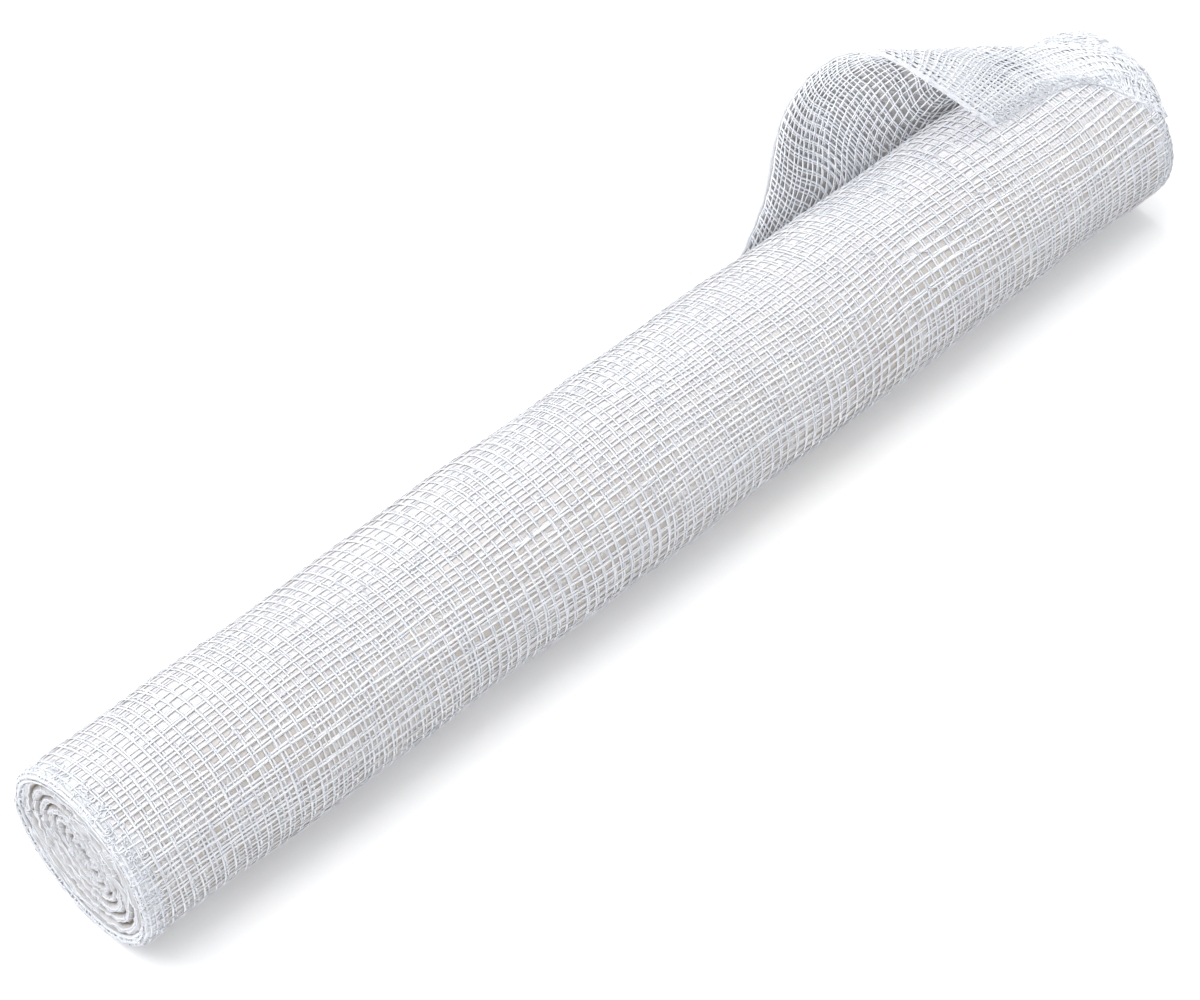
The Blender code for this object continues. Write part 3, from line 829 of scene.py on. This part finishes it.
def corner_sheet():
    """Closed thin sheet: the surface plus and minus half its thickness, thinner at its edges."""
    rows, cols = (np.linspace(0, FINE - 1, number) for number in (SHEET_ROWS, SHEET_COLS))
    rows, cols = np.meshgrid(rows, cols, indexing="ij")
    middle, normal = read_grid(corner, rows, cols), read_grid(corner_normal, rows, cols)
    from_edge = read_grid(corner_run[..., None], rows, cols)[..., 0]
    share = edge_share(np.interp(rows, COLUMNS, row_run), from_edge)
    half = normal * SHEET_THICK / 2 * (0.35 + 0.65 * share)
    top, low = middle + half, middle - half
    count = SHEET_ROWS * SHEET_COLS
    ids = np.arange(count).reshape(SHEET_ROWS, SHEET_COLS)
    edge = np.concatenate([ids[:, 0], ids[-1, 1:], ids[-2::-1, -1], ids[0, -2:0:-1]])
    after = np.roll(edge, -1)
    upper, lower = grid_quads(SHEET_ROWS, SHEET_COLS), grid_quads(SHEET_ROWS, SHEET_COLS, count)[:, ::-1]
    wall = np.stack([after, edge, edge + count, after + count], axis=-1)
    faces = np.concatenate([upper, lower, wall])
    slots = np.concatenate([np.ones(len(upper)), np.zeros(len(lower)), np.ones(len(wall))])
    u = np.interp(rows, COLUMNS, row_run) / RING_STEP
    v = np.interp(cols[0], COLUMNS, corner_run.mean(axis=0))[None] / RING_STEP + 0 * u
    at = np.stack([u, v], axis=-1).reshape(-1, 2)
    at = np.concatenate([at, at])
    points = np.concatenate([top.reshape(-1, 3), low.reshape(-1, 3)])
    # the surface may face either way: make the faces agree with its normals
    p = points[upper[0]]
    if np.dot(np.cross(p[1] - p[0], p[2] - p[1]), normal[0, 0]) < 0:
        faces = faces[:, ::-1]
    # the painted shade fades to pale near the edges, where the plies come together
    paler = 0.9 * (1 - share[..., 0].ravel())
    return points, faces, at[faces].reshape(-1, 2), slots, {"painted_light": np.concatenate([paler, paler])}


sheet_points, sheet_faces, sheet_uv, sheet_slots, sheet_values = corner_sheet()
loose_sheet = new_piece("loose_corner_sheet", sheet_points, [sheet_faces], [hollow_side_painted_shade, outside_painted_dark_gaps],
                        uv=sheet_uv, values=sheet_values, slots=sheet_slots)
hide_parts("loose_end")

# %% [markdown]
# Nets on both sides of the loose corner. Arch threads follow the arches; the others run
# the long way, at an even distance from the woven edge, measured along each arch, and
# stop where the arch does.

# %% Nets of the loose corner
TABLE_STEPS = 120
EVEN = np.linspace(0, 1, TABLE_STEPS + 1)
COLUMN_TABLE = np.stack([np.interp(EVEN * run[-1], run, COLUMNS) for run in corner_run])


def on_corner(p, q):
    """Point and normal of the corner at p from the cut end and q from the woven edge, and if it is there.

    A table of even lengths for each arch turns q into a column, and another one p into a row.
    """
    rows = np.interp(p, row_run, COLUMNS)
    r0 = np.clip(rows.astype(int), 0, FINE - 1)
    total = corner_run[r0, -1]
    part = np.clip(q / total, 0, 1)
    k = np.clip((part * TABLE_STEPS).astype(int), 0, TABLE_STEPS - 1)
    cols = COLUMN_TABLE[r0, k] + (COLUMN_TABLE[r0, k + 1] - COLUMN_TABLE[r0, k]) * (part * TABLE_STEPS - k)
    middle, normal = read_grid(corner, rows, cols), read_grid(corner_normal, rows, cols)
    there = (q < total) & (p < row_run[-1]) & (p >= 0)
    return middle, normal / np.linalg.norm(normal, axis=-1, keepdims=True), there


def corner_net(name, seed, lift, thick, beside, step_arch, step_long, wide, opened):
    """Arch threads and long threads of the loose corner, lift along the normal and moved aside by beside.

    Where the turned side is pulled tight its threads are thinner by the share opened, in a bell curve.
    """
    arches = int(row_run[-1] / step_arch)
    longs = int(corner_run[:, -1].max() / step_long)
    rng = np.random.default_rng(seed)
    shape = (arches, longs)

    def uneven(first, coarse, own):
        """Even steps moved by soft fields, by beside and thread by thread (seed own)."""
        places = first + 0.12 * soft_field(*shape, 7, 7, own + 2)
        places = places + beside * (1 + 0.5 * soft_field(*shape, 9, 9, own + 4))
        return places + 0.05 * soft_field(*shape, *coarse, own) + 0.35

    p = uneven((np.arange(arches) + rng.uniform(-0.18, 0.18, arches))[:, None], (arches, 12), seed + 1)
    q = uneven((np.arange(longs) + rng.uniform(-0.18, 0.18, longs))[None], (12, longs), seed + 2)
    p, q = np.sort(p, axis=0) * step_arch, np.sort(q, axis=1) * step_long
    middle, normal, there = on_corner(p, q)
    i, j = np.indices(shape)
    over = np.where((i + j) % 2 == 0, 1.0, -1.0)[..., None] * thick * 0.42
    bell = np.exp(-((p - 18 * MM) / (11 * MM)) ** 2 - ((q - 11 * MM) / (6 * MM)) ** 2)
    wide = wide * (1 - opened * bell)
    near_sheet = np.sign(lift) * 0.15 * MM
    base = middle + normal * (near_sheet + (lift - near_sheet) * edge_share(p, q))
    one = threads_piece(name + "_arch_threads", yarn, base + normal * over, normal, wide, thick,
                        keep=there[:, :-1] & there[:, 1:])
    two = threads_piece(name + "_long_threads", yarn, (base - normal * over).swapaxes(0, 1),
                        normal.swapaxes(0, 1), wide.T, thick, keep=(there[:-1] & there[1:]).T)
    for piece in (one, two):
        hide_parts("loose_end")
    return [one, two]


HOLLOW = dict(step_arch=1.74 * MM, step_long=1.68 * MM, wide=0.31 * MM, opened=0.0)
OUTER = dict(step_arch=1.40 * MM, step_long=1.30 * MM, wide=0.46 * MM, opened=0.50)
hollow_nets = corner_net("hollow_side", 300, lift=-0.36 * MM, thick=0.18 * MM, beside=0.0, **HOLLOW)
hollow_nets += corner_net("hollow_second", 300, lift=-0.20 * MM, thick=0.16 * MM, beside=0.27, **HOLLOW)
outer_nets = corner_net("outer_side", 400, lift=0.32 * MM, thick=0.14 * MM, beside=0.0, **OUTER)
outer_nets += corner_net("outer_second", 400, lift=0.22 * MM, thick=0.14 * MM, beside=0.48, **OUTER)

# %% [markdown]
# Edges of the loose corner. The cut end is folded in, so it ends in a smooth bright roll of
# cloth; one fat tube with two threads beside it is enough. Along the woven edge and over
# the far rim the ring threads turn back on themselves, and their loops lie crumpled.

# %% Hem and loops of the loose corner
def edge_tubes(name, at_cut_end, distances, lifts, widths, seed):
    """Tubes side by side along the cut end or the woven edge, each at its distance from it."""
    count = len(distances)
    beside, rise, wide = (np.array(v)[:, None] * MM for v in (distances, lifts, widths))
    longest = corner_run[0, -1] if at_cut_end else row_run[-1]
    along = np.linspace(0.2 * MM, longest - 0.2 * MM, 220)[None] + 0 * beside
    beside = beside + 0.05 * MM * soft_field(count, 220, count, 60, seed)
    middle, normal, _ = on_corner(beside, along) if at_cut_end else on_corner(along, beside)
    path = middle + normal * (rise + 0.05 * MM * soft_field(count, 220, count, 60, seed + 1))[..., None]
    wide = wide * (1 + 0.08 * soft_field(count, 220, count, 90, seed + 2))
    return threads_piece(name, yarn, path, normal, wide, wide * 0.8, sides=8)


def corner_curls(name, seed, count, width, side):
    """Curls within 4 mm of the woven edge or 7 mm of the far rim, on one side (+1 outside, -1 hollow)."""
    rng = np.random.default_rng(seed)
    reach, longest = row_run[-1], corner_run[:, -1].max()
    at_edge = rng.random(count) < 0.55
    p0 = np.where(at_edge, rng.uniform(2 * MM, reach, count), reach - 7 * MM * rng.random(count) ** 1.3)
    q0 = np.where(at_edge, 4.0 * MM * rng.random(count) ** 1.5, rng.uniform(0, longest * 0.8, count))
    flat = curl_offsets(count, 10, 2.3 * MM, 7.0, seed + 1)
    p, q = np.clip(p0[:, None] + flat[..., 0], 0, reach), np.clip(q0[:, None] + flat[..., 1], 0, None)
    middle, normal, there = on_corner(p, q)
    lift = side * (0.20 + 0.22 * edge_share(p, q)[..., 0] + 0.10 * rng.random((count, 1))) * MM
    path = middle + normal * lift[..., None]
    return threads_piece(name, yarn, path, normal, width, width * 0.7,
                         keep=there[:, 1:] & there[:, :-1], sides=3)


cut_end_hem = edge_tubes("cut_end_hem", True, (0.10, 0.42, 0.70), (0.0, 0.16, 0.20), (0.55, 0.34, 0.34), 470)
woven_edge = edge_tubes("woven_edge_threads", False, (0.05, 0.34), (0.0, 0.10), (0.26, 0.22), 475)
corner_loops = corner_curls("corner_loops", 480, 800, 0.25 * MM, 1)
edge_pieces = [cut_end_hem, woven_edge, corner_loops]
for piece in edge_pieces:
    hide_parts("loose_end")

# %% [markdown]
# Light that comes through the open cloth brightens both sides of the real corner. Tubes do
# not let light through, so two white cards are linked to it alone and stand in for that:
# a low one at the left for the hollow side, and a high one in front for the turned side.
# For the same reason the corner casts no shade of the key panel on the roll beside it: it
# has a key panel of its own, in the same place.

# %% Cards for the loose corner only
def light_group(name, pieces, state):
    """Collection that a lamp reads: it lights only these pieces (INCLUDE), or all but these (EXCLUDE)."""
    group = bpy.data.collections.new(name)
    bpy.context.scene.collection.children.link(group)
    for piece in pieces:
        group.objects.link(piece)
    for entry in group.collection_objects:
        entry.light_linking.link_state = state
    return group


corner_pieces = [loose_sheet] + hollow_nets + outer_nets + edge_pieces
for lamp, lit_pieces in ((hollow_card, [loose_sheet] + hollow_nets), (turned_card, outer_nets + edge_pieces),
                         (corner_key, corner_pieces)):
    lamp.light_linking.receiver_collection = light_group("lit by " + lamp.name, lit_pieces, "INCLUDE")
key.light_linking.receiver_collection = light_group("all but the loose corner", corner_pieces, "EXCLUDE")
key.light_linking.blocker_collection = key.light_linking.receiver_collection
